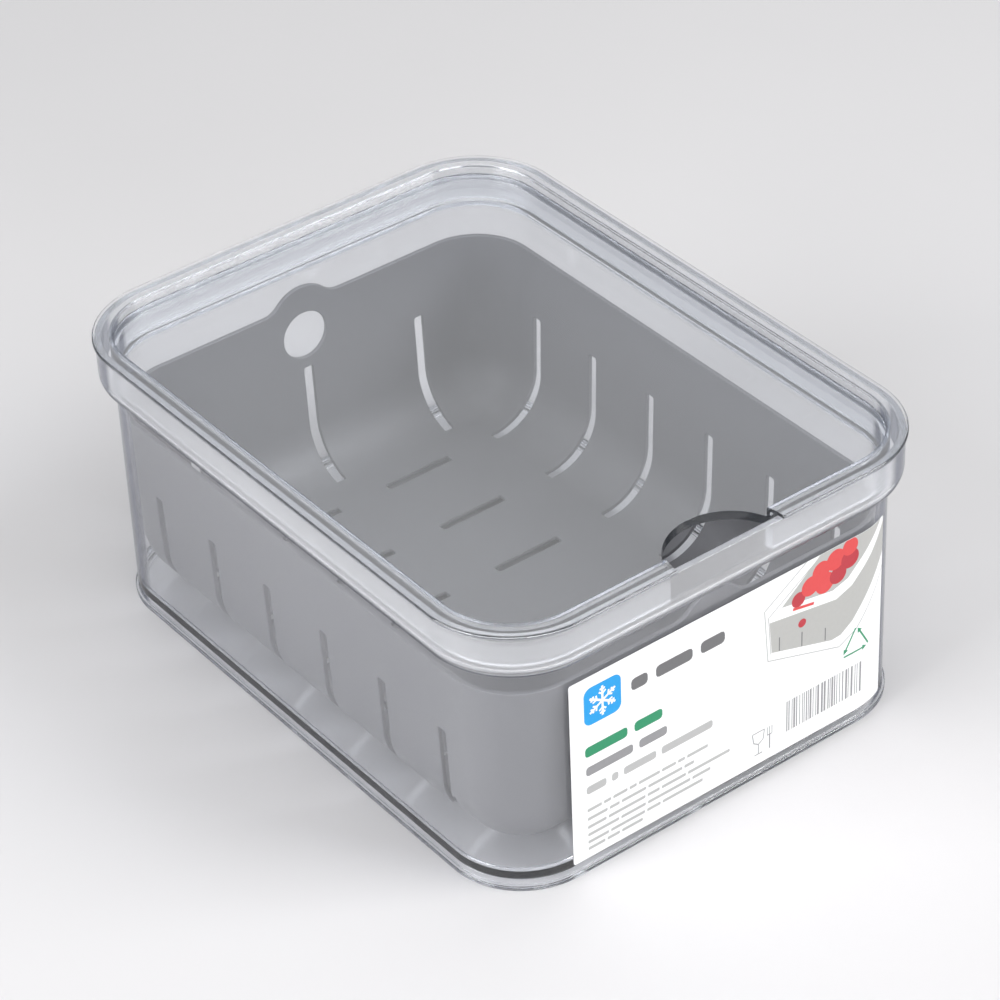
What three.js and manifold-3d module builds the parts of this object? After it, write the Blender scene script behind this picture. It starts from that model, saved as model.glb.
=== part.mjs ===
// Clear fridge storage bin with a drop-in lid, a lift-out strainer basket and a paper label.
//
// Millimetres, +Z up. The origin is the centre of the underside. X runs across the short ends
// and Y along the long sides; the end that carries the label and the lid's finger notch is at -Y.
//
// Every ring of the bin, lid and basket is the same rounded rectangle moved inwards, so a height
// and an inset from the lid's outer edge place each corner of each cross-section.

import * as THREE from 'three';
import { mergeVertices } from 'three/addons/utils/BufferGeometryUtils.js';
import Module from 'manifold-3d';

const manifoldLibrary = await Module();
manifoldLibrary.setup();

// Overall size
const WIDTH = 165;
const LENGTH = 216;
const HEIGHT = 95.2;
const CORNER_RADIUS = 29.6;
const CORNER_STEPS = 9;
const FILLET_STEPS = 5;

// Gap between pieces that rest on or slide past each other
const REST_GAP = 0.1;

// Bin
const FOOT_INSET = 4.5;
const FOOT_HEIGHT = 2;
const FOOT_CHAMFER = 0.4;
const FOOT_RING_WIDTH = 3;
const WALL_INSET = 5.4;
const WALL_THICKNESS = 2.2;
const FLOOR_TOP = 4.6;
const FLOOR_THICKNESS = 1.4;
const FLOOR_CORNER_RADIUS = 3.4;
const COLLAR_INSET = 0.8;
const COLLAR_THICKNESS = 2.2;
const COLLAR_TOP = 93.85;
const COLLAR_ROUND_CENTRE = 83;
const LEDGE_HEIGHT = 80.6;

// Lid
const LID_FLANGE_BOTTOM = COLLAR_TOP + REST_GAP;
const LID_EDGE_CHAMFER = 0.5;
const LID_RIM_INNER_INSET = 6.3;
const LID_PANEL_TOP = 92;
const LID_PANEL_BOTTOM = 89;
const LID_SKIRT_INSET = 5.2;
const LID_SKIRT_THICKNESS = 2.3;
const LID_SKIRT_BOTTOM = 81.6;
const NOTCH_RADIUS = 19.2;
const NOTCH_STEPS = 48;

// Basket
const BASKET_RIM_INSET = 8.7;
const BASKET_DRAFT_ANGLE = THREE.MathUtils.degToRad(2);
const BASKET_THICKNESS = 1.5;
const BASKET_RIM = 69.2;
const BASKET_FLOOR_BOTTOM = 7;
const BASKET_FILLET_RADIUS = 18.6;
const TAB_CENTRE = 62.5;
const TAB_RADIUS = 12.6;
const TAB_BLEND_RADIUS = 8;
const FINGER_HOLE_CENTRE = 57.6;
const FINGER_HOLE_RADIUS = 8.1;
const HOLE_STEPS = 28;
const SLOT_WIDTH = 3.4;
const SLOT_TOP = 45.7;
const SIDE_SLOT_COUNT = 6;
const SIDE_SLOT_PITCH = 28.4;
const SIDE_SLOT_END = 52.4;
const END_SLOT_COUNT = 3;
const END_SLOT_PITCH = 43.5;
const END_SLOT_END = 83;
const FLOOR_SLOT_START = 9.6;
const FLOOR_SLOT_END = 34.2;
const FLOOR_SLOT_WIDTH = 3;
const BASKET_FOOT_RADIUS = 4;
const FOOT_STEPS = 16;
const BASKET_FOOT_X = 44;
const BASKET_FOOT_Y = 56.8;
const BASKET_FOOT_SINK = 0.5;

// Label
const LABEL_LEFT = -53.9;
const LABEL_WRAP_ANGLE = THREE.MathUtils.degToRad(27);
const LABEL_BOTTOM = 4.7;
const LABEL_TOP = 69.6;
const LABEL_GAP = 0.1;
const LABEL_THICKNESS = 0.3;

const CUT_MARGIN = 10;

const clearPlastic = new THREE.MeshStandardMaterial({
  color: 0xdfe6ea, roughness: 0.05, metalness: 0, transparent: true, opacity: 0.35,
});
const greyPlastic = new THREE.MeshStandardMaterial({ color: 0x9d9fa3, roughness: 0.55, metalness: 0 });
const paper = new THREE.MeshStandardMaterial({ color: 0xfafafa, roughness: 0.5, metalness: 0 });

// The rounded rectangle that lies a given inset inside the lid's outer edge, as a closed loop.
function outline(inset) {
  const halfWidth = WIDTH / 2 - inset;
  const halfLength = LENGTH / 2 - inset;
  const radius = CORNER_RADIUS - inset;
  const loop = [];
  const corners = [[1, 1], [-1, 1], [-1, -1], [1, -1]];
  corners.forEach(([sideX, sideY], quadrant) => {
    for (let step = 0; step <= CORNER_STEPS; step += 1) {
      const angle = (quadrant + step / CORNER_STEPS) * Math.PI / 2;
      const x = sideX * (halfWidth - radius) + radius * Math.cos(angle);
      const y = sideY * (halfLength - radius) + radius * Math.sin(angle);
      loop.push(new THREE.Vector2(x, y));
    }
  });
  return loop;
}

// A closed body whose skin joins rounded-rectangle rings, given from bottom to top.
function ringBody(rings) {
  const loops = rings.map(({ inset }) => outline(inset));
  const size = loops[0].length;
  const positions = [];
  rings.forEach(({ height }, level) => {
    loops[level].forEach((point) => positions.push(point.x, point.y, height));
  });
  const index = [];
  for (let level = 0; level < rings.length - 1; level += 1) {
    for (let i = 0; i < size; i += 1) {
      const next = (i + 1) % size;
      const low = level * size;
      const high = low + size;
      index.push(low + i, low + next, high + next);
      index.push(low + i, high + next, high + i);
    }
  }
  const lastRing = (rings.length - 1) * size;
  THREE.ShapeUtils.triangulateShape(loops[0], [])
    .forEach(([a, b, c]) => index.push(a, c, b));
  THREE.ShapeUtils.triangulateShape(loops[rings.length - 1], [])
    .forEach(([a, b, c]) => index.push(lastRing + a, lastRing + b, lastRing + c));
  const geometry = new THREE.BufferGeometry();
  geometry.setAttribute('position', new THREE.Float32BufferAttribute(positions, 3));
  geometry.setIndex(index);
  return geometry;
}

function toSolid(geometry) {
  const bare = geometry.clone();
  bare.deleteAttribute('normal');
  bare.deleteAttribute('uv');
  const merged = mergeVertices(bare);
  const mesh = new manifoldLibrary.Mesh({
    numProp: 3,
    vertProperties: new Float32Array(merged.attributes.position.array),
    triVerts: new Uint32Array(merged.index.array),
  });
  return new manifoldLibrary.Manifold(mesh);
}

function toMesh(name, solid, material) {
  const { vertProperties, triVerts } = solid.getMesh();
  const geometry = new THREE.BufferGeometry();
  geometry.setAttribute('position', new THREE.BufferAttribute(vertProperties, 3));
  geometry.setIndex(new THREE.BufferAttribute(triVerts, 1));
  geometry.computeVertexNormals();
  const mesh = new THREE.Mesh(geometry, material);
  mesh.name = name;
  return mesh;
}

function block(minX, maxX, minY, maxY, minZ, maxZ) {
  const geometry = new THREE.BoxGeometry(maxX - minX, maxY - minY, maxZ - minZ);
  geometry.translate((minX + maxX) / 2, (minY + maxY) / 2, (minZ + maxZ) / 2);
  return toSolid(geometry);
}

// Rings along a quarter circle that starts level under its centre and ends upright beside it.
function bottomRound(centreInset, centreHeight, radius) {
  const rings = [];
  for (let step = 0; step <= FILLET_STEPS; step += 1) {
    const angle = step / FILLET_STEPS * Math.PI / 2;
    rings.push({
      inset: centreInset - radius * Math.sin(angle),
      height: centreHeight - radius * Math.cos(angle),
    });
  }
  return rings;
}

function centredPositions(count, pitch) {
  return Array.from({ length: count }, (unused, i) => (i - (count - 1) / 2) * pitch);
}

function makeBin() {
  const innerWall = WALL_INSET + WALL_THICKNESS;
  const innerCollar = COLLAR_INSET + COLLAR_THICKNESS;
  const collarRound = WALL_INSET - COLLAR_INSET;
  const outside = ringBody([
    { inset: FOOT_INSET + FOOT_CHAMFER, height: 0 },
    { inset: FOOT_INSET, height: FOOT_CHAMFER },
    { inset: FOOT_INSET, height: FOOT_HEIGHT },
    { inset: WALL_INSET, height: FOOT_HEIGHT },
    ...bottomRound(WALL_INSET, COLLAR_ROUND_CENTRE, collarRound),
    { inset: COLLAR_INSET, height: COLLAR_TOP },
  ]);
  const floorCornerInset = innerWall + FLOOR_CORNER_RADIUS;
  const ledgeRound = COLLAR_ROUND_CENTRE - LEDGE_HEIGHT;
  const inside = ringBody([
    ...bottomRound(floorCornerInset, FLOOR_TOP + FLOOR_CORNER_RADIUS, FLOOR_CORNER_RADIUS),
    { inset: innerWall, height: LEDGE_HEIGHT },
    ...bottomRound(innerCollar + ledgeRound, COLLAR_ROUND_CENTRE, ledgeRound),
    { inset: innerCollar, height: COLLAR_TOP + CUT_MARGIN },
  ]);
  const underside = ringBody([
    { inset: FOOT_INSET + FOOT_RING_WIDTH, height: -CUT_MARGIN },
    { inset: FOOT_INSET + FOOT_RING_WIDTH, height: FLOOR_TOP - FLOOR_THICKNESS },
  ]);
  return toSolid(outside).subtract(toSolid(inside)).subtract(toSolid(underside));
}

function makeLid() {
  const skirtInner = LID_SKIRT_INSET + LID_SKIRT_THICKNESS;
  const outside = ringBody([
    { inset: LID_SKIRT_INSET + LID_EDGE_CHAMFER, height: LID_SKIRT_BOTTOM },
    { inset: LID_SKIRT_INSET, height: LID_SKIRT_BOTTOM + LID_EDGE_CHAMFER },
    { inset: LID_SKIRT_INSET, height: LID_FLANGE_BOTTOM },
    { inset: 0, height: LID_FLANGE_BOTTOM },
    { inset: 0, height: HEIGHT - LID_EDGE_CHAMFER },
    { inset: LID_EDGE_CHAMFER, height: HEIGHT },
  ]);
  const recess = ringBody([
    { inset: LID_RIM_INNER_INSET, height: LID_PANEL_TOP },
    { inset: LID_RIM_INNER_INSET, height: HEIGHT + CUT_MARGIN },
  ]);
  const hollow = ringBody([
    { inset: skirtInner, height: LID_SKIRT_BOTTOM - CUT_MARGIN },
    { inset: skirtInner, height: LID_PANEL_BOTTOM },
  ]);
  const notch = new THREE.CylinderGeometry(NOTCH_RADIUS, NOTCH_RADIUS, HEIGHT, NOTCH_STEPS);
  notch.rotateX(Math.PI / 2);
  notch.translate(0, -LENGTH / 2, HEIGHT);
  return toSolid(outside)
    .subtract(toSolid(recess))
    .subtract(toSolid(hollow))
    .subtract(toSolid(notch));
}

// Everything above the basket's rim. Its lower edge runs level over the side walls and rises over
// the middle of each end wall as a round finger tab, blended into the rim by hollow curves.
function aboveRim() {
  const blendHeight = BASKET_RIM + TAB_BLEND_RADIUS;
  const reach = TAB_RADIUS + TAB_BLEND_RADIUS;
  const blendX = Math.sqrt(reach ** 2 - (blendHeight - TAB_CENTRE) ** 2);
  const meetAngle = Math.atan2(blendHeight - TAB_CENTRE, blendX);
  const shape = new THREE.Shape();
  shape.moveTo(WIDTH / 2, BASKET_RIM);
  shape.lineTo(blendX, BASKET_RIM);
  shape.absarc(blendX, blendHeight, TAB_BLEND_RADIUS, -Math.PI / 2, Math.PI + meetAngle, true);
  shape.absarc(0, TAB_CENTRE, TAB_RADIUS, meetAngle, Math.PI - meetAngle, false);
  shape.absarc(-blendX, blendHeight, TAB_BLEND_RADIUS, -meetAngle, -Math.PI / 2, true);
  shape.lineTo(-WIDTH / 2, BASKET_RIM);
  shape.lineTo(-WIDTH / 2, HEIGHT + CUT_MARGIN);
  shape.lineTo(WIDTH / 2, HEIGHT + CUT_MARGIN);
  shape.closePath();
  const geometry = new THREE.ExtrudeGeometry(shape, {
    depth: LENGTH, bevelEnabled: false, curveSegments: CORNER_STEPS,
  });
  geometry.rotateX(Math.PI / 2);
  geometry.translate(0, LENGTH / 2, 0);
  return toSolid(geometry);
}

// The outside of the basket's wall, which leans out from its rounded foot to its rim.
function basketInset(height) {
  return BASKET_RIM_INSET + (BASKET_RIM - height) * Math.tan(BASKET_DRAFT_ANGLE);
}

function makeBasket() {
  const floorTop = BASKET_FLOOR_BOTTOM + BASKET_THICKNESS;
  const filletHeight = BASKET_FLOOR_BOTTOM + BASKET_FILLET_RADIUS;
  const filletInset = basketInset(filletHeight) + BASKET_FILLET_RADIUS;
  const outside = ringBody([
    ...bottomRound(filletInset, filletHeight, BASKET_FILLET_RADIUS),
    { inset: basketInset(HEIGHT), height: HEIGHT },
  ]);
  const insideTop = HEIGHT + CUT_MARGIN;
  const inside = ringBody([
    ...bottomRound(filletInset, filletHeight, filletHeight - floorTop),
    { inset: basketInset(insideTop) + BASKET_THICKNESS, height: insideTop },
  ]);
  let basket = toSolid(outside).subtract(toSolid(inside)).subtract(aboveRim());

  const cuts = [];
  const halfSlot = SLOT_WIDTH / 2;
  const sideSlots = centredPositions(SIDE_SLOT_COUNT, SIDE_SLOT_PITCH);
  sideSlots.forEach((y) => {
    cuts.push(block(SIDE_SLOT_END, WIDTH / 2, y - halfSlot, y + halfSlot, 0, SLOT_TOP));
    cuts.push(block(-WIDTH / 2, -SIDE_SLOT_END, y - halfSlot, y + halfSlot, 0, SLOT_TOP));
  });
  // The floor has slots in its rear half only
  const halfFloorSlot = FLOOR_SLOT_WIDTH / 2;
  sideSlots.filter((y) => y > 0).forEach((y) => {
    [FLOOR_SLOT_START, -FLOOR_SLOT_END].forEach((x) => {
      const end = x + FLOOR_SLOT_END - FLOOR_SLOT_START;
      cuts.push(block(x, end, y - halfFloorSlot, y + halfFloorSlot, 0, floorTop + CUT_MARGIN));
    });
  });
  centredPositions(END_SLOT_COUNT, END_SLOT_PITCH).forEach((x) => {
    cuts.push(block(x - halfSlot, x + halfSlot, END_SLOT_END, LENGTH / 2, 0, SLOT_TOP));
    cuts.push(block(x - halfSlot, x + halfSlot, -LENGTH / 2, -END_SLOT_END, 0, SLOT_TOP));
  });
  const fingerHoles = new THREE.CylinderGeometry(
    FINGER_HOLE_RADIUS, FINGER_HOLE_RADIUS, LENGTH, HOLE_STEPS,
  );
  fingerHoles.translate(0, 0, FINGER_HOLE_CENTRE);
  cuts.push(toSolid(fingerHoles));
  cuts.forEach((cut) => {
    basket = basket.subtract(cut);
  });

  const footBottom = FLOOR_TOP + REST_GAP;
  const footHeight = BASKET_FLOOR_BOTTOM + BASKET_FOOT_SINK - footBottom;
  [-BASKET_FOOT_X, BASKET_FOOT_X].forEach((x) => {
    [-BASKET_FOOT_Y, BASKET_FOOT_Y].forEach((y) => {
      const foot = new THREE.CylinderGeometry(
        BASKET_FOOT_RADIUS, BASKET_FOOT_RADIUS, footHeight, FOOT_STEPS,
      );
      foot.rotateX(Math.PI / 2);
      foot.translate(x, y, footBottom + footHeight / 2);
      basket = basket.add(toSolid(foot));
    });
  });
  return basket;
}

// A paper band on the front end wall that carries on a little way round the right-hand corner.
function makeLabel() {
  const shape = new THREE.Shape();
  const inner = WALL_INSET - LABEL_GAP;
  const outer = inner - LABEL_THICKNESS;
  const cornerX = WIDTH / 2 - CORNER_RADIUS;
  const cornerY = CORNER_RADIUS - LENGTH / 2;
  const start = -Math.PI / 2;
  const end = start + LABEL_WRAP_ANGLE;
  shape.moveTo(LABEL_LEFT, outer - LENGTH / 2);
  shape.lineTo(cornerX, outer - LENGTH / 2);
  shape.absarc(cornerX, cornerY, CORNER_RADIUS - outer, start, end, false);
  shape.absarc(cornerX, cornerY, CORNER_RADIUS - inner, end, start, true);
  shape.lineTo(LABEL_LEFT, inner - LENGTH / 2);
  shape.closePath();
  const geometry = new THREE.ExtrudeGeometry(shape, {
    depth: LABEL_TOP - LABEL_BOTTOM, bevelEnabled: false, curveSegments: CORNER_STEPS,
  });
  geometry.translate(0, 0, LABEL_BOTTOM);
  return toSolid(geometry);
}

const fridgeBin = new THREE.Group();
fridgeBin.add(toMesh('bin', makeBin(), clearPlastic));
fridgeBin.add(toMesh('basket', makeBasket(), greyPlastic));
fridgeBin.add(toMesh('lid', makeLid(), clearPlastic));
fridgeBin.add(toMesh('label', makeLabel(), paper));

export default fridgeBin;
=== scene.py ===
"""Looks for the clear fridge bin: a bin, a lid, a strainer basket and a paper label.

Metres, +Z up, origin at the centre of the underside. X runs across the short ends, the label and the
lid's finger notch are at -Y. Every ring of the bin, lid and basket is one rounded rectangle moved
inwards, so a cross-section is a list of (inset from the lid's edge, height, corner rounding).
"""

import math
from random import Random

import bmesh
import bpy
from mathutils import Matrix, Vector
from mathutils.geometry import delaunay_2d_cdt


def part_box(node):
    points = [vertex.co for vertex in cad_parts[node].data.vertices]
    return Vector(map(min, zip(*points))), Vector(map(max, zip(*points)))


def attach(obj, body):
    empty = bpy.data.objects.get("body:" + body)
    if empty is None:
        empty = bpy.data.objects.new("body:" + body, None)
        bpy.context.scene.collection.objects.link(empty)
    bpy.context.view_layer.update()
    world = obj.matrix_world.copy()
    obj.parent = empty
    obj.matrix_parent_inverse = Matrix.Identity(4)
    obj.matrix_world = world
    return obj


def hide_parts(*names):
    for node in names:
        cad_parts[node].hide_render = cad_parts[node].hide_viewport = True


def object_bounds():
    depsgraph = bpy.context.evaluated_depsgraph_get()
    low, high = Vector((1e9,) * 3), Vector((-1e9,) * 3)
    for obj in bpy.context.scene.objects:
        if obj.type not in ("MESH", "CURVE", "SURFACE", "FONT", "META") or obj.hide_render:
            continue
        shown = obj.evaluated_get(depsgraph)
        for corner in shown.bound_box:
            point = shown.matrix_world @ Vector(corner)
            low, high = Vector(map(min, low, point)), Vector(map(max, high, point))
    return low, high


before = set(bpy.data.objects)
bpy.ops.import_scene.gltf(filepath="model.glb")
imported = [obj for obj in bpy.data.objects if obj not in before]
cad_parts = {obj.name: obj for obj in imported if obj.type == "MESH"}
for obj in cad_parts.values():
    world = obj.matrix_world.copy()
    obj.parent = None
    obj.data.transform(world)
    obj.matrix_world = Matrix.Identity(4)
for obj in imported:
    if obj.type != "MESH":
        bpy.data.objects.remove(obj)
cad_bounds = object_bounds()

MM = 0.001

# Overall size, from the frame
LOW, HIGH = cad_bounds
HALF_WIDTH = (HIGH.x - LOW.x) / 2
HALF_LENGTH = (HIGH.y - LOW.y) / 2
TOP = HIGH.z
CORNER_RADIUS = 29.6 * MM
CORNER_STEPS = 32
CORNER_SIDES = ((1, 1), (-1, 1), (-1, -1), (1, -1))

# Bin cross-section
FOOT_INSET = 4.5 * MM
FOOT_TOP = 2 * MM
FOOT_RING_WIDTH = 3 * MM
UNDERSIDE_HEIGHT = 3.2 * MM
WALL_INSET = 5.4 * MM
WALL = 2.2 * MM
FLOOR_TOP = 4.6 * MM
FLOOR_ROUND = 3.4 * MM
COLLAR_INSET = 0.8 * MM
COLLAR_TOP = 93.85 * MM
COLLAR_BOTTOM = 78.4 * MM
LEDGE_HEIGHT = 80.6 * MM
EDGE_ROUND = 0.4 * MM
CAP_MARGIN = 8 * MM

# Lid cross-section
FLANGE_BOTTOM = COLLAR_TOP + 0.1 * MM
RIM_INNER_INSET = 6.3 * MM
PANEL_TOP = 92 * MM
PANEL_BOTTOM = 89 * MM
SKIRT_BOTTOM = 81.6 * MM
SKIRT_OUTER = 5.2 * MM
SKIRT_INNER = 7.5 * MM
NOTCH_RADIUS = 19.2 * MM
NOTCH_STEPS = 128
NOTCH_EDGE = 0.25 * MM

# Basket
BASKET_RIM_INSET = 8.7 * MM
BASKET_DRAFT = math.radians(2)
BASKET_WALL = 1.5 * MM
BASKET_RIM = 69.2 * MM
BASKET_BOTTOM = 7 * MM
BASKET_FILLET = 18.6 * MM
BASKET_EDGE = 0.35 * MM
TAB_CENTRE = 62.5 * MM
TAB_RADIUS = 12.6 * MM
TAB_BLEND = 8 * MM
HOLE_CENTRE = 57.6 * MM
HOLE_RADIUS = 8.1 * MM
SLOT_WIDTH = 3.4 * MM
SLOT_TOP = 45.7 * MM
SLOT_ROUND = 0.7 * MM
SIDE_SLOTS = 6
SIDE_SLOT_PITCH = 28.4 * MM
SIDE_SLOT_END = 52.4 * MM
END_SLOTS = 3
END_SLOT_PITCH = 43.5 * MM
END_SLOT_END = 83 * MM
FLOOR_SLOT_START = 9.6 * MM
FLOOR_SLOT_END = 34.2 * MM
FLOOR_SLOT_WIDTH = 3 * MM
FOOT_RADIUS = 4 * MM
FOOT_X = 44 * MM
FOOT_Y = 56.8 * MM
CUT_MARGIN = 10 * MM

BACKDROP = (0.4, 0.59, 0.7)
BACKDROP_IN = 5
BACKDROP_OUT = 17
BACKDROP_GLOW = 1.3
CEILING = (0.3, -0.2, 0.9)
CEILING_GLOW = 0.15
ROOM_GLOW = 0.03
HORIZON_GLOW = 0.75
FLOOR_RADIUS = 1.4
FLOOR_FADE = 0.5
FLOOR_SHADE = 0.78
KEY_PLACE = (1.05, -1.2, 1.15)
KEY_SIZE = (1.0, 1.0)
KEY_POWER = 25
TOP_PLACE = (-0.3, -0.1, 1.8)
TOP_SIZE = (2.0, 2.0)
TOP_POWER = 13.5
FILL_PLACE = (-1.5, 0.2, 0.6)
FILL_SIZE = (1.2, 1.0)
FILL_POWER = 22
FRONT_PLACE = (-0.35, -1.7, 0.4)
FRONT_SIZE = (1.0, 0.5)
FRONT_POWER = 10
WAVES = 0.1
GRAIN = 0.1
CLEARNESS = 0.988
HAZE_EDGE = 0.8 * MM
HAZE_ROUGHNESS = 0.12
HAZE_SCATTER = 0.12
# Painted shade: clear plastic on faces that are not level, seen at a glancing angle, is darkened to the dark
# blue-grey below, in place of the dark refractions along its edges and corners
GLANCE_START = 0.58
GLANCE_END = 0.68
GLANCE_PAINTED_SHADE = (0.1, 0.11, 0.15, 1)
DEPTH_COLOUR = (0.45, 0.52, 0.64, 1)
DEPTH_DENSITY = 34

# Label, printed flat: s runs along the paper from the middle of the front wall, in mm, and z up
LABEL_OUTER = 5.15 * MM
LABEL_INNER = 5.3 * MM
LABEL_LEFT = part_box("label")[0].x / MM
LABEL_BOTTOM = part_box("label")[0].z / MM
LABEL_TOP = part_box("label")[1].z / MM
LABEL_WRAP = math.radians(27)
LABEL_CORNER = 0.8
WRAP_START = (HALF_WIDTH - CORNER_RADIUS) / MM
WRAP_RADIUS = (CORNER_RADIUS - LABEL_OUTER) / MM
LABEL_RIGHT = WRAP_START + LABEL_WRAP * WRAP_RADIUS
WRAP_STEPS = 16
INKS = {
    "white": (0.93, 0.93, 0.94),
    "blue": (0.0, 0.33, 0.76),
    "dark_grey": (0.15, 0.15, 0.155),
    "grey": (0.28, 0.28, 0.29),
    "pale_grey": (0.46, 0.46, 0.46),
    "tray_grey": (0.46, 0.46, 0.445),
    "green": (0.012, 0.27, 0.12),
    "red": (0.7, 0.065, 0.065),
    "deep_red": (0.48, 0.03, 0.045),
}


# ---------------------------------------------------------------- mesh helpers

def ring(inset, height):
    """Points round the rounded rectangle at this inset, anticlockwise seen from above."""
    radius = CORNER_RADIUS - inset
    points = []
    for quadrant, (side_x, side_y) in enumerate(CORNER_SIDES):
        centre_x = side_x * (HALF_WIDTH - CORNER_RADIUS)
        centre_y = side_y * (HALF_LENGTH - CORNER_RADIUS)
        for step in range(CORNER_STEPS + 1):
            angle = (quadrant + step / CORNER_STEPS) * math.pi / 2
            x = centre_x + radius * math.cos(angle)
            y = centre_y + radius * math.sin(angle)
            points.append(Vector((x, y, height)))
    return points


def rounded(corners):
    """The line through (inset, height, rounding) corners, with an arc at each rounded corner."""
    points = []
    for i, (inset, height, radius) in enumerate(corners):
        here = Vector((inset, height))
        if radius == 0:
            points.append(here)
            continue
        before = (Vector(corners[i - 1][:2]) - here).normalized()
        after = (Vector(corners[i + 1][:2]) - here).normalized()
        half_angle = before.angle(after) / 2
        centre = here + (before + after).normalized() * radius / math.sin(half_angle)
        start = here + before * radius / math.tan(half_angle) - centre
        end = here + after * radius / math.tan(half_angle) - centre
        sweep = math.atan2(start.x * end.y - start.y * end.x, start.dot(end))
        steps = 4 + round(radius / MM)
        for step in range(steps + 1):
            points.append(centre + Matrix.Rotation(sweep * step / steps, 2) @ start)
    return points


def loft(name, profile):
    """A closed body through the profile's rings, whose first and last rings are filled flat."""
    shape = bmesh.new()
    rings = [[shape.verts.new(p) for p in ring(inset, height)] for inset, height in profile]
    for low, high in zip(rings, rings[1:]):
        for i in range(len(low)):
            j = (i + 1) % len(low)
            shape.faces.new((low[i], low[j], high[j], high[i]))
    shape.faces.new(reversed(rings[0]))
    shape.faces.new(rings[-1])
    return to_object(name, shape)


def to_object(name, shape):
    mesh = bpy.data.meshes.new(name)
    shape.to_mesh(mesh)
    shape.free()
    made = bpy.data.objects.new(name, mesh)
    bpy.context.scene.collection.objects.link(made)
    return made


def prism(shape, outline, start, end, place):
    """Adds a prism on a flat outline, from depth start to depth end; place turns it into 3-D."""
    near = [shape.verts.new(place(u, v, start)) for u, v in outline]
    far = [shape.verts.new(place(u, v, end)) for u, v in outline]
    faces = [shape.faces.new(near), shape.faces.new(reversed(far))]
    for i in range(len(outline)):
        j = (i + 1) % len(outline)
        faces.append(shape.faces.new((near[i], far[i], far[j], near[j])))
    bmesh.ops.recalc_face_normals(shape, faces=faces)


def arc(centre_u, centre_v, radius, start, end, steps):
    """Points along an arc, with angles in radians."""
    points = []
    for step in range(steps + 1):
        angle = start + (end - start) * step / steps
        points.append((centre_u + radius * math.cos(angle), centre_v + radius * math.sin(angle)))
    return points


def circle(centre_u, centre_v, radius, steps):
    return arc(centre_u, centre_v, radius, 0, 2 * math.pi, steps)[:-1]


def rectangle(left, right, bottom, top, radius, steps=4):
    """A rectangle with rounded corners, anticlockwise."""
    points = []
    centres = ((right, top), (left, top), (left, bottom), (right, bottom))
    for quadrant, ((u, v), (side_u, side_v)) in enumerate(zip(centres, CORNER_SIDES)):
        start = quadrant * math.pi / 2
        points += arc(u - side_u * radius, v - side_v * radius, radius, start, start + math.pi / 2, steps)
    return points


def combine(made, operation, shape):
    """Adds a boolean with the bodies in shape, and returns their object."""
    other = to_object(made.name + "_" + operation.lower(), shape)
    modifier = made.modifiers.new(operation, "BOOLEAN")
    modifier.operation = operation
    modifier.solver = "EXACT"
    modifier.object = other
    return other


def soften(made, width):
    """Rounds the sharp edges that cuts leave."""
    bevel = made.modifiers.new("edge_rounding", "BEVEL")
    bevel.width = width
    bevel.segments = 3
    bevel.limit_method = "ANGLE"
    bevel.angle_limit = math.radians(40)
    bevel.use_clamp_overlap = True
    bevel.miter_outer = "MITER_ARC"


def settle(made, helpers=()):
    """Applies the modifiers, with shading that keeps flat faces flat, and removes the helpers."""
    made.data.shade_smooth()
    made.modifiers.new("shading", "WEIGHTED_NORMAL").weight = 100
    graph = bpy.context.evaluated_depsgraph_get()
    final = bpy.data.meshes.new_from_object(made.evaluated_get(graph), depsgraph=graph)
    made.modifiers.clear()
    made.data = final
    final.name = made.name
    for helper in helpers:
        bpy.data.objects.remove(helper)


def centred(count, pitch):
    return [(i - (count - 1) / 2) * pitch for i in range(count)]


# ------------------------------------------------------------------- materials

def new_tree(owner):
    owner.use_nodes = True
    owner.node_tree.nodes.clear()
    return owner.node_tree


def add(tree, kind, inputs=None, **settings):
    """Adds a node. Each input is a value or another node's output socket."""
    made = tree.nodes.new(kind)
    for name, value in settings.items():
        setattr(made, name, value)
    for name, value in (inputs or {}).items():
        if isinstance(value, bpy.types.NodeSocket):
            tree.links.new(value, made.inputs[name])
        else:
            made.inputs[name].default_value = value
    return made


def noise(tree, scale, detail=2.0, stretch=(1, 1, 1)):
    """Noise over the object's own coordinates, scale per metre, as a 0 to 1 value."""
    place = add(tree, "ShaderNodeTexCoord").outputs["Object"]
    mapped = add(tree, "ShaderNodeMapping", {"Vector": place, "Scale": stretch}).outputs["Vector"]
    return add(tree, "ShaderNodeTexNoise", {"Vector": mapped, "Scale": scale, "Detail": detail}).outputs["Fac"]


def spread(tree, value, low, high):
    """Turns a 0.3 to 0.7 noise value into the range from low to high."""
    inputs = {"Value": value, "From Min": 0.3, "From Max": 0.7, "To Min": low, "To Max": high}
    return add(tree, "ShaderNodeMapRange", inputs).outputs["Result"]


def bump(tree, height, distance, strength=1.0, normal=None):
    inputs = {"Height": height, "Distance": distance, "Strength": strength}
    if normal is not None:
        inputs["Normal"] = normal
    return add(tree, "ShaderNodeBump", inputs).outputs["Normal"]


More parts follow.
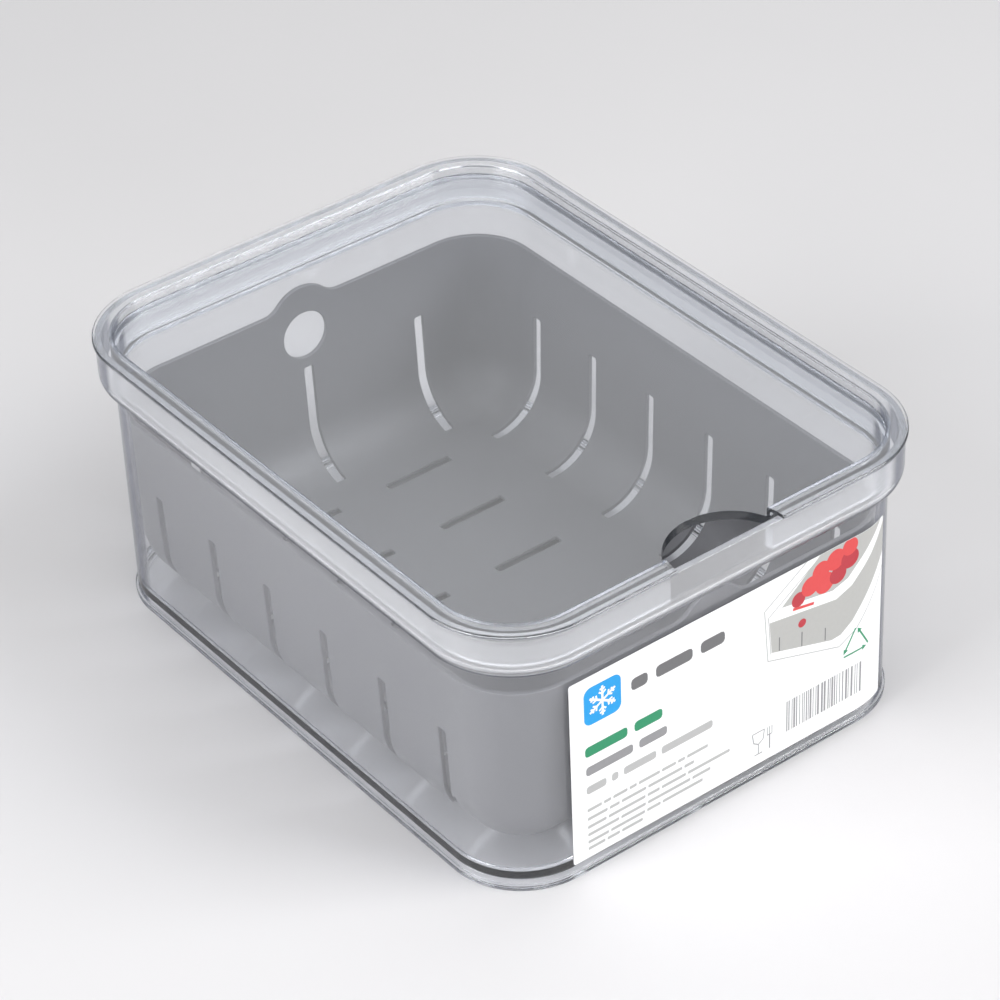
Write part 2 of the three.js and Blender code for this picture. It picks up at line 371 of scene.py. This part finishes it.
def clear_plastic(name, haze_low, haze_high):
    """Clear moulded plastic: glossy, faintly wavy, bluish through its depth, and with painted shade at glancing
    angles on faces that are not level, in place of the dark refractions along its edges and corners.

    Between two heights it is hazier, where double walls blur what is behind them. Lamps and diffuse
    rays pass straight through, so that the basket inside is lit cleanly.
    """
    material = bpy.data.materials.new(name)
    tree = new_tree(material)
    waves = bump(tree, noise(tree, 28, 1.0), 0.12 * MM, WAVES)
    grain = bump(tree, noise(tree, 900, 3.0), 0.004 * MM, GRAIN, waves)
    place = add(tree, "ShaderNodeTexCoord").outputs["Object"]
    height = add(tree, "ShaderNodeSeparateXYZ", {"Vector": place}).outputs["Z"]
    above = add(tree, "ShaderNodeMapRange", {"Value": height, "From Min": haze_low - HAZE_EDGE,
                                             "From Max": haze_low}).outputs["Result"]
    below = add(tree, "ShaderNodeMapRange", {"Value": height, "From Min": haze_high + HAZE_EDGE,
                                             "From Max": haze_high}).outputs["Result"]
    hazy = add(tree, "ShaderNodeMath", {0: above, 1: below}, operation="MULTIPLY").outputs["Value"]
    polish = spread(tree, noise(tree, 60, 4.0), 0.008, 0.03)
    rough = add(tree, "ShaderNodeMath", {0: hazy, 1: HAZE_ROUGHNESS, 2: polish}, operation="MULTIPLY_ADD")
    clear = add(tree, "ShaderNodeMath", {0: hazy, 1: -HAZE_SCATTER, 2: CLEARNESS}, operation="MULTIPLY_ADD")
    # Painted shade: faces that are not level, seen at a glancing angle, have their colour darkened towards the dark
    # blue-grey glance colour, in place of dark refractions at the edges and corners
    facing = add(tree, "ShaderNodeLayerWeight", {"Blend": 0.5}).outputs["Facing"]
    glancing = add(tree, "ShaderNodeMapRange", {"Value": facing, "From Min": GLANCE_START,
                                                "From Max": GLANCE_END}).outputs["Result"]
    normal = add(tree, "ShaderNodeNewGeometry").outputs["Normal"]
    upward = add(tree, "ShaderNodeSeparateXYZ", {"Vector": normal}).outputs["Z"]
    slope = add(tree, "ShaderNodeMath", {0: upward}, operation="ABSOLUTE").outputs["Value"]
    upright = add(tree, "ShaderNodeMapRange", {"Value": slope, "From Min": 0.99, "From Max": 0.9}).outputs["Result"]
    painted_shade_share = add(tree, "ShaderNodeMath", {0: glancing, 1: upright}, operation="MULTIPLY").outputs["Value"]
    tint = add(tree, "ShaderNodeMix", {"Factor": painted_shade_share}, data_type="RGBA")
    tint.inputs["A"].default_value = (0.975, 0.977, 0.985, 1)
    tint.inputs["B"].default_value = GLANCE_PAINTED_SHADE
    glass = add(tree, "ShaderNodeBsdfPrincipled", {
        "Base Color": tint.outputs["Result"],
        "Roughness": rough.outputs["Value"],
        "IOR": 1.57,
        "Transmission Weight": clear.outputs["Value"],
        "Normal": grain,
    })
    open_glass = add(tree, "ShaderNodeBsdfTransparent", {"Color": (0.955, 0.957, 0.96, 1)})
    path = add(tree, "ShaderNodeLightPath")
    lets_through = add(tree, "ShaderNodeMath", operation="MAXIMUM")
    tree.links.new(path.outputs["Is Shadow Ray"], lets_through.inputs[0])
    tree.links.new(path.outputs["Is Diffuse Ray"], lets_through.inputs[1])
    surface = add(tree, "ShaderNodeMixShader", {0: lets_through.outputs[0], 1: glass.outputs[0]})
    tree.links.new(open_glass.outputs[0], surface.inputs[2])
    depth = add(tree, "ShaderNodeVolumeAbsorption", {"Color": DEPTH_COLOUR, "Density": DEPTH_DENSITY})
    add(tree, "ShaderNodeOutputMaterial", {"Surface": surface.outputs[0], "Volume": depth.outputs[0]})
    return material


def grey_plastic(name):
    """Matt grey moulding with a fine spark-eroded grain and faint flow marks."""
    material = bpy.data.materials.new(name)
    tree = new_tree(material)
    clouds = noise(tree, 18, 3.0)
    colour = add(tree, "ShaderNodeMix", {"Factor": spread(tree, clouds, 0, 1)}, data_type="RGBA")
    colour.inputs["A"].default_value = (0.2, 0.2, 0.212, 1)
    colour.inputs["B"].default_value = (0.212, 0.212, 0.224, 1)
    flow = bump(tree, noise(tree, 40, 2.0, (1, 1, 0.25)), 0.05 * MM, 0.3)
    grain = bump(tree, noise(tree, 2600, 4.0), 0.03 * MM, 0.25, flow)
    shader = add(tree, "ShaderNodeBsdfPrincipled", {
        "Base Color": colour.outputs["Result"],
        "Roughness": spread(tree, noise(tree, 1400, 3.0), 0.42, 0.56),
        "IOR": 1.49,
        "Normal": grain,
    })
    add(tree, "ShaderNodeOutputMaterial", {"Surface": shader.outputs[0]})
    return material


def printed_paper(name, ink):
    """Coated paper under one flat ink, with a faint fibre grain."""
    material = bpy.data.materials.new(name)
    tree = new_tree(material)
    fibre = noise(tree, 1800, 4.0, (1, 1, 0.4))
    shade = spread(tree, noise(tree, 700, 2.0), 0.97, 1.0)
    tinted = add(tree, "ShaderNodeMix", {"Factor": 1.0}, data_type="RGBA", blend_type="MULTIPLY")
    tinted.inputs["A"].default_value = (*ink, 1)
    tree.links.new(shade, tinted.inputs["B"])
    shader = add(tree, "ShaderNodeBsdfPrincipled", {
        "Base Color": tinted.outputs["Result"],
        "Roughness": spread(tree, fibre, 0.38, 0.5),
        "Normal": bump(tree, fibre, 0.01 * MM, 0.4),
    })
    add(tree, "ShaderNodeOutputMaterial", {"Surface": shader.outputs[0]})
    return material


# ---------------------------------------------------------------------- pieces

def make_bin():
    inner_wall = WALL_INSET + WALL
    inner_collar = COLLAR_INSET + WALL
    underside = FOOT_INSET + FOOT_RING_WIDTH
    return_round = LEDGE_HEIGHT - COLLAR_BOTTOM
    made = loft("bin_shell", rounded([
        (underside + CAP_MARGIN, UNDERSIDE_HEIGHT, 0),
        (underside, UNDERSIDE_HEIGHT, EDGE_ROUND),
        (underside, 0, EDGE_ROUND),
        (FOOT_INSET, 0, 2 * EDGE_ROUND),
        (FOOT_INSET, FOOT_TOP, EDGE_ROUND),
        (WALL_INSET, FOOT_TOP, EDGE_ROUND / 2),
        (WALL_INSET, COLLAR_BOTTOM, 0),
        (COLLAR_INSET, COLLAR_BOTTOM, WALL_INSET - COLLAR_INSET),
        (COLLAR_INSET, COLLAR_TOP, EDGE_ROUND),
        (inner_collar, COLLAR_TOP, EDGE_ROUND),
        (inner_collar, LEDGE_HEIGHT, WALL_INSET - inner_collar),
        (inner_wall, LEDGE_HEIGHT, return_round / 3),
        (inner_wall, FLOOR_TOP, FLOOR_ROUND),
        (inner_wall + FLOOR_ROUND + CAP_MARGIN, FLOOR_TOP, 0),
    ]))
    settle(made)
    made.data.materials.append(clear_plastic("clear_plastic", COLLAR_BOTTOM, TOP))
    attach(made, "bin")
    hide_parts("bin")


def make_lid():
    made = loft("lid_shell", rounded([
        (SKIRT_INNER + CAP_MARGIN, PANEL_BOTTOM, 0),
        (SKIRT_INNER, PANEL_BOTTOM, EDGE_ROUND),
        (SKIRT_INNER, SKIRT_BOTTOM, EDGE_ROUND),
        (SKIRT_OUTER, SKIRT_BOTTOM, EDGE_ROUND),
        (SKIRT_OUTER, FLANGE_BOTTOM, EDGE_ROUND / 2),
        (0, FLANGE_BOTTOM, EDGE_ROUND),
        (0, TOP, 2 * EDGE_ROUND),
        (RIM_INNER_INSET, TOP, EDGE_ROUND),
        (RIM_INNER_INSET, PANEL_TOP, EDGE_ROUND),
        (RIM_INNER_INSET + CAP_MARGIN, PANEL_TOP, 0),
    ]))
    notch = bmesh.new()
    outline = circle(0, -HALF_LENGTH, NOTCH_RADIUS, NOTCH_STEPS)
    prism(notch, outline, SKIRT_BOTTOM - CUT_MARGIN, TOP + CUT_MARGIN, lambda u, v, w: (u, v, w))
    cutter = combine(made, "DIFFERENCE", notch)
    soften(made, NOTCH_EDGE)
    settle(made, [cutter])
    made.data.materials.append(clear_plastic("lid_plastic", SKIRT_BOTTOM, PANEL_BOTTOM - MM))
    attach(made, "lid")
    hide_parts("lid")


def above_rim():
    """Outline of all that is cut away above the basket's rim, round the finger tab."""
    blend_height = BASKET_RIM + TAB_BLEND
    rise = blend_height - TAB_CENTRE
    blend_x = math.sqrt((TAB_RADIUS + TAB_BLEND) ** 2 - rise ** 2)
    meet = math.atan2(rise, blend_x)
    outline = [(HALF_WIDTH, BASKET_RIM)]
    outline += arc(blend_x, blend_height, TAB_BLEND, -math.pi / 2, meet - math.pi, 12)
    outline += arc(0, TAB_CENTRE, TAB_RADIUS, meet, math.pi - meet, 40)[1:-1]
    outline += arc(-blend_x, blend_height, TAB_BLEND, -meet, -math.pi / 2, 12)
    outline += [(-HALF_WIDTH, BASKET_RIM), (-HALF_WIDTH, TOP + CUT_MARGIN), (HALF_WIDTH, TOP + CUT_MARGIN)]
    return outline


def basket_cuts():
    cuts = bmesh.new()
    half = SLOT_WIDTH / 2
    for y in centred(SIDE_SLOTS, SIDE_SLOT_PITCH):
        outline = rectangle(y - half, y + half, -CUT_MARGIN, SLOT_TOP, SLOT_ROUND)
        for side in (1, -1):
            prism(cuts, outline, side * SIDE_SLOT_END, side * HALF_WIDTH, lambda u, v, w: (w, u, v))
            if y < 0:
                continue
            inner, outer = sorted((side * FLOOR_SLOT_START, side * FLOOR_SLOT_END))
            slot = rectangle(inner, outer, y - FLOOR_SLOT_WIDTH / 2, y + FLOOR_SLOT_WIDTH / 2, SLOT_ROUND)
            prism(cuts, slot, 0, BASKET_BOTTOM + CUT_MARGIN, lambda u, v, w: (u, v, w))
    for x in centred(END_SLOTS, END_SLOT_PITCH):
        outline = rectangle(x - half, x + half, -CUT_MARGIN, SLOT_TOP, SLOT_ROUND)
        for side in (1, -1):
            prism(cuts, outline, side * END_SLOT_END, side * HALF_LENGTH, lambda u, v, w: (u, w, v))
    hole = circle(0, HOLE_CENTRE, HOLE_RADIUS, 64)
    prism(cuts, hole, -HALF_LENGTH, HALF_LENGTH, lambda u, v, w: (u, w, v))
    prism(cuts, above_rim(), -HALF_LENGTH, HALF_LENGTH, lambda u, v, w: (u, w, v))
    return cuts


def basket_inset(height):
    """The outside of the basket's wall, which leans out from its foot to its rim."""
    return BASKET_RIM_INSET + (BASKET_RIM - height) * math.tan(BASKET_DRAFT)


def make_basket():
    floor = BASKET_BOTTOM + BASKET_WALL
    cap = basket_inset(BASKET_BOTTOM) + BASKET_FILLET
    made = loft("basket_shell", rounded([
        (cap, BASKET_BOTTOM, 0),
        (basket_inset(BASKET_BOTTOM), BASKET_BOTTOM, BASKET_FILLET),
        (basket_inset(TOP), TOP, 0),
        (basket_inset(TOP) + BASKET_WALL, TOP, 0),
        (basket_inset(floor) + BASKET_WALL, floor, BASKET_FILLET - BASKET_WALL),
        (cap, floor, 0),
    ]))
    feet = bmesh.new()
    for x in (-FOOT_X, FOOT_X):
        for y in (-FOOT_Y, FOOT_Y):
            outline = circle(x, y, FOOT_RADIUS, 48)
            prism(feet, outline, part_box("basket")[0].z, BASKET_BOTTOM + BASKET_WALL / 2, lambda u, v, w: (u, v, w))
    helpers = [combine(made, "DIFFERENCE", basket_cuts()), combine(made, "UNION", feet)]
    soften(made, BASKET_EDGE)
    settle(made, helpers)
    made.data.materials.append(grey_plastic("grey_plastic"))
    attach(made, "basket")
    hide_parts("basket")


# ----------------------------------------------------------- the label's print

def stroke(start, end, width):
    """Outline of a straight line of this width."""
    start, end = Vector(start), Vector(end)
    side = (end - start).normalized().orthogonal() * width / 2
    return [tuple(point) for point in (start - side, end - side, end + side, start + side)]


def chain(points, width):
    """Straight lines through the points."""
    return [stroke(start, end, width) for start, end in zip(points, points[1:])]


def words(left, right, bottom, height, lengths):
    """Blank bars in place of words. The lengths are relative to each other."""
    bars = []
    gap = 0.7 * height
    unit = (right - left + gap) / sum(lengths) - gap * len(lengths) / sum(lengths)
    for length in lengths:
        bars.append(rectangle(left, left + length * unit, bottom, bottom + height, 0.3 * height, 2))
        left += length * unit + gap
    return bars


def snowflake(centre, reach, width):
    """Six arms, each with two pairs of twigs."""
    lines = []
    for turn in range(6):
        along = Matrix.Rotation(turn * math.pi / 3, 2) @ Vector((0, 1))
        lines.append(stroke(centre, centre + along * reach, width))
        for part, length in ((0.45, 0.3), (0.7, 0.22)):
            root = centre + along * reach * part
            for lean in (-1, 1):
                twig = Matrix.Rotation(lean * math.radians(52), 2) @ along
                lines.append(stroke(root, root + twig * reach * length, width * 0.8))
    return lines


def arrow_triangle(centre, radius, width):
    """Three arrows that chase each other round a triangle."""
    shapes = []
    tips = [centre + Matrix.Rotation(turn * math.tau / 3, 2) @ Vector((0, radius)) for turn in range(3)]
    for start, end in zip(tips, tips[1:] + tips[:1]):
        along = (end - start).normalized()
        side = along.orthogonal()
        tail = start + along * width
        head = end - along * (radius * 0.45)
        shapes.append(stroke(tail, head, width))
        shapes.append([tuple(head + side * width * 1.6), tuple(head + along * width * 3),
                       tuple(head - side * width * 1.6)])
    return shapes


def glass_and_fork(left, bottom, height, width):
    """A wine glass beside a fork, in thin lines."""
    rim = bottom + height
    bowl = [(left, rim), (left + 0.5, rim - 3.4), (left + 2.3, rim - 4.6), (left + 4.1, rim - 3.4),
            (left + 4.6, rim), (left, rim)]
    stem = [(left + 2.3, rim - 4.6), (left + 2.3, bottom)]
    foot = [(left + 0.8, bottom), (left + 3.8, bottom)]
    lines = chain(bowl, width) + chain(stem, width) + chain(foot, width)
    handle = left + 6.6
    lines.append(stroke((handle, bottom), (handle, rim - 3), width * 1.4))
    lines.append(stroke((handle - 0.9, rim - 3), (handle + 0.9, rim - 3), width))
    for tine in (-0.9, 0, 0.9):
        lines.append(stroke((handle + tine, rim - 3), (handle + tine, rim), width * 0.8))
    return lines


def stripes(left, right, bottom, top, seed):
    """Upright stripes of uneven width, with blank gaps."""
    random = Random(seed)
    bars = []
    while left < right - 1:
        width = random.choice((0.3, 0.45, 0.7))
        bars.append(rectangle(left, left + width, bottom, top, 0.05, 1))
        left += width + random.choice((0.35, 0.5, 0.8))
    return bars


def tray_picture():
    """A plain slotted tray of round berries in a clear box, seen from one corner."""
    art = []
    box = [(33, 70), (16.7, 59.6), (18.1, 41), (45.5, 32.2), (52, 35.4), (60.5, 46), (66, 53.5)]
    art += [("pale_grey", line) for line in chain(box, 0.35)]
    art += [("pale_grey", line) for line in chain([(39, 70), (20.4, 58), (18.2, 56.6), (19.2, 43)], 0.3)]
    side = [(18.6, 54.6), (19.5, 43.4), (42.5, 36.2), (46, 36.4), (50.5, 39.4), (60, 51.5), (66, 59),
            (66, 70), (57.5, 60), (50, 52.6), (44, 50.4)]
    art.append(("tray_grey", side))
    inside = [(22.6, 57.4), (38, 70), (66, 72), (66, 70), (56, 62), (49, 55.4), (43, 53.6)]
    art.append(("tray_grey", inside))
    rim = [(22, 56.6), (43.4, 52.2), (49.6, 54.2), (57, 61.4), (66, 71), (66, 73), (56, 63.2), (48.4, 56),
           (42.6, 54.3), (22.4, 58)]
    art.append(("white", rim))
    heap = ((29.5, 57.6, 2.6), (34, 60.2, 3.4), (39.5, 58.6, 3.6), (44.5, 59.2, 3.2), (38, 63.6, 3.4),
            (43.5, 65, 3.6), (49, 62.8, 3.4), (49, 67, 3))
    for index, (s, z, radius) in enumerate(heap):
        art.append(("red" if index % 3 else "deep_red", circle(s, z, radius, 20)))
    art += [("red", line) for line in chain([(27.4, 55), (35.4, 53.4)], 1)]
    art.append(("deep_red", circle(31, 48.4, 1.5, 20)))
    for s, low, high in ((22.4, 42.7, 47.6), (31, 40, 45.2), (40, 37.4, 42)):
        art.append(("dark_grey", stroke((s, low), (s, high), 0.4)))
    return art


def label_artwork():
    """The flat print, as (ink, outline) from the lowest layer to the top one."""
    paper = rectangle(LABEL_LEFT, LABEL_RIGHT, LABEL_BOTTOM, LABEL_TOP, LABEL_CORNER)
    art = [("white", paper)] + tray_picture()
    badge = rectangle(-48.8, -35.6, 52.4, 65.6, 2.6, 6)
    art.append(("blue", badge))
    art += [("white", line) for line in snowflake(Vector((-42.2, 59)), 5.2, 0.75)]
    art += [("dark_grey", bar) for bar in words(-32, 2, 56.6, 4.2, (4, 9, 6))]
    art += [("green", bar) for bar in words(-48.8, -21, 41.4, 3.6, (6, 4))]
    art += [("grey", bar) for bar in words(-48.6, -19.4, 34.6, 3.2, (5, 3))]
    art += [("pale_grey", bar) for bar in words(-48.6, -2.6, 28, 2.8, (3, 1, 5, 8))]
    for bottom, right, lengths in ((21.6, -4.4, (2, 1, 2, 1, 3, 2, 1, 3)), (18.4, -9.6, (4, 2, 5, 7, 2)),
                                   (15.4, 3.8, (3, 6, 2, 4, 7)), (12.6, -3.5, (5, 4, 7, 3)),
                                   (9.9, -6.4, (3, 5, 2, 6)), (7.5, -28.7, (4, 3, 5))):
        art += [("pale_grey", bar) for bar in words(-48.5, right, bottom, 1.1, lengths)]
    art += [("grey", line) for line in glass_and_fork(12.4, 8.4, 8.2, 0.35)]
    art += [("grey", bar) for bar in stripes(25.4, 55.4, 11, 22.2, 7)]
    art += [("green", shape) for shape in arrow_triangle(Vector((52.2, 30.2)), 6.2, 0.6)]
    return art


def wrapped(s, z, inset):
    """The place of a printed point, given in mm, on the front wall and round its right-hand corner."""
    if s <= WRAP_START:
        return Vector((s * MM, inset - HALF_LENGTH, z * MM))
    angle = (s - WRAP_START) / WRAP_RADIUS
    radius = CORNER_RADIUS - inset
    x = WRAP_START * MM + radius * math.sin(angle)
    y = CORNER_RADIUS - HALF_LENGTH - radius * math.cos(angle)
    return Vector((x, y, z * MM))


def anticlockwise(outline):
    area = sum(u1 * v2 - u2 * v1 for (u1, v1), (u2, v2) in zip(outline, outline[1:] + outline[:1]))
    return outline if area > 0 else outline[::-1]


def make_label():
    art = label_artwork()
    corners, faces = [], []
    for ink, outline in art:
        faces.append(range(len(corners), len(corners) + len(outline)))
        corners += [Vector(point) for point in anticlockwise(outline)]
    points, _, triangles, _, _, layers = delaunay_2d_cdt(corners, [], faces, 1, 1e-5, True)
    inks = list(INKS)
    shape = bmesh.new()
    verts = [shape.verts.new((s, z, 0)) for s, z in points]
    for triangle, inside in zip(triangles, layers):
        if 0 in inside:
            face = shape.faces.new([verts[i] for i in triangle])
            face.material_index = inks.index(art[max(inside)][0])
    bmesh.ops.delete(shape, geom=[v for v in shape.verts if not v.link_faces], context="VERTS")
    for step in range(WRAP_STEPS):
        cut = WRAP_START + (LABEL_RIGHT - WRAP_START) * step / WRAP_STEPS
        geometry = list(shape.verts) + list(shape.edges) + list(shape.faces)
        bmesh.ops.bisect_plane(shape, geom=geometry, plane_co=(cut, 0, 0), plane_no=(1, 0, 0))
    border = [edge for edge in shape.edges if edge.is_boundary]
    front = list(shape.faces)
    back = {}
    for vert in list(shape.verts):
        back[vert] = shape.verts.new(wrapped(vert.co.x, vert.co.y, LABEL_INNER))
        vert.co = wrapped(vert.co.x, vert.co.y, LABEL_OUTER)
    for face in front:
        shape.faces.new([back[vert] for vert in reversed(face.verts)])
    for edge in border:
        loop = edge.link_loops[0]
        start, end = loop.vert, loop.link_loop_next.vert
        shape.faces.new((end, start, back[start], back[end]))
    made = to_object("label_print", shape)
    settle(made)
    for ink, colour in INKS.items():
        made.data.materials.append(printed_paper("paper_" + ink, colour))
    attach(made, "bin")
    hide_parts("label")


make_bin()
make_lid()
make_basket()
make_label()


# ----------------------------------------------------------------------- stage

CENTRE = (LOW + HIGH) / 2
CAMERA_AZIMUTH = math.radians(-36.29)
CAMERA_ELEVATION = math.radians(36.37)
CAMERA_ROLL = math.radians(-2.56)
CAMERA_DISTANCE = 1.1119
CAMERA_AIM = CENTRE + Vector((2.3, 1.1, 0)) * MM
CAMERA_LENS = 133.3


def make_camera():
    data = bpy.data.cameras.new("camera")
    data.lens = CAMERA_LENS
    data.sensor_width = 36
    data.clip_start = 0.05
    camera = bpy.data.objects.new("camera", data)
    bpy.context.scene.collection.objects.link(camera)
    turn = Matrix.Rotation(CAMERA_AZIMUTH, 4, "Z")
    tilt = Matrix.Rotation(math.pi / 2 - CAMERA_ELEVATION, 4, "X")
    roll = Matrix.Rotation(CAMERA_ROLL, 4, "Z")
    away = Matrix.Translation((0, 0, CAMERA_DISTANCE))
    camera.matrix_world = Matrix.Translation(CAMERA_AIM) @ turn @ tilt @ away @ roll
    bpy.context.scene.camera = camera


def softbox(name, place, size, power, aim=CENTRE):
    data = bpy.data.lights.new(name, "AREA")
    data.shape = "RECTANGLE"
    data.size, data.size_y = size
    data.energy = power
    light = bpy.data.objects.new(name, data)
    bpy.context.scene.collection.objects.link(light)
    light.location = place
    light.rotation_mode = "QUATERNION"
    light.rotation_quaternion = (Vector(place) - aim).to_track_quat("Z", "Y")


def make_floor():
    shape = bmesh.new()
    bmesh.ops.create_circle(shape, cap_ends=True, radius=FLOOR_RADIUS, segments=96)
    floor = to_object("floor", shape)
    floor.location.z = -0.05 * MM
    material = bpy.data.materials.new("floor")
    tree = new_tree(material)
    shade = spread(tree, noise(tree, 6, 3.0), FLOOR_SHADE, FLOOR_SHADE + 0.015)
    tinted = add(tree, "ShaderNodeMix", {"Factor": 1.0}, data_type="RGBA", blend_type="MULTIPLY")
    tinted.inputs["A"].default_value = (0.995, 0.985, 1, 1)
    tree.links.new(shade, tinted.inputs["B"])
    shader = add(tree, "ShaderNodeBsdfPrincipled", {"Base Color": tinted.outputs["Result"], "Roughness": 0.75})
    place = add(tree, "ShaderNodeTexCoord").outputs["Object"]
    away = add(tree, "ShaderNodeVectorMath", {0: place}, operation="LENGTH").outputs["Value"]
    faded = add(tree, "ShaderNodeMapRange", {"Value": away, "From Min": FLOOR_RADIUS - FLOOR_FADE,
                                             "From Max": FLOOR_RADIUS}, interpolation_type="SMOOTHSTEP")
    open_floor = add(tree, "ShaderNodeBsdfTransparent")
    surface = add(tree, "ShaderNodeMixShader", {0: faded.outputs["Result"], 1: shader.outputs[0]})
    tree.links.new(open_floor.outputs[0], surface.inputs[2])
    add(tree, "ShaderNodeOutputMaterial", {"Surface": surface.outputs[0]})
    floor.data.materials.append(material)


def patch(tree, direction, centre, inner, outer, strength):
    """A soft-edged round glow about one direction, with its inner and outer angles."""
    centre = Vector(centre).normalized()
    facing = add(tree, "ShaderNodeVectorMath", {0: direction, 1: centre}, operation="DOT_PRODUCT").outputs["Value"]
    inputs = {"Value": facing, "From Min": math.cos(outer), "From Max": math.cos(inner), "To Max": strength}
    return add(tree, "ShaderNodeMapRange", inputs, interpolation_type="SMOOTHSTEP").outputs["Result"]


def make_world():
    world = bpy.data.worlds.new("studio")
    bpy.context.scene.world = world
    tree = new_tree(world)
    direction = add(tree, "ShaderNodeTexCoord").outputs["Generated"]
    backdrop = patch(tree, direction, BACKDROP, math.radians(BACKDROP_IN), math.radians(BACKDROP_OUT), BACKDROP_GLOW)
    ceiling = patch(tree, direction, CEILING, math.radians(20), math.radians(60), CEILING_GLOW)
    both = add(tree, "ShaderNodeMath", {0: backdrop, 1: ceiling}, operation="ADD").outputs["Value"]
    glow = add(tree, "ShaderNodeMath", {0: both, 1: ROOM_GLOW}, operation="ADD").outputs["Value"]
    path = add(tree, "ShaderNodeLightPath")
    seen = add(tree, "ShaderNodeMath", {0: path.outputs["Is Camera Ray"], 1: path.outputs["Is Transmission Ray"]},
               operation="MAXIMUM").outputs["Value"]
    horizon = add(tree, "ShaderNodeMath", {0: seen, 1: HORIZON_GLOW}, operation="MULTIPLY").outputs["Value"]
    strength = add(tree, "ShaderNodeMath", {0: glow, 1: horizon}, operation="MAXIMUM").outputs["Value"]
    background = add(tree, "ShaderNodeBackground", {"Color": (0.98, 0.99, 1, 1), "Strength": strength})
    add(tree, "ShaderNodeOutputWorld", {"Surface": background.outputs[0]})


make_camera()
make_floor()
make_world()
softbox("key", KEY_PLACE, KEY_SIZE, KEY_POWER)
softbox("top", TOP_PLACE, TOP_SIZE, TOP_POWER)
softbox("fill", FILL_PLACE, FILL_SIZE, FILL_POWER)
softbox("front", FRONT_PLACE, FRONT_SIZE, FRONT_POWER)

scene = bpy.context.scene
scene.view_settings.view_transform = "Standard"
scene.cycles.max_bounces = 32
scene.cycles.transmission_bounces = 32
scene.cycles.transparent_max_bounces = 32
scene.cycles.glossy_bounces = 8
scene.cycles.diffuse_bounces = 4
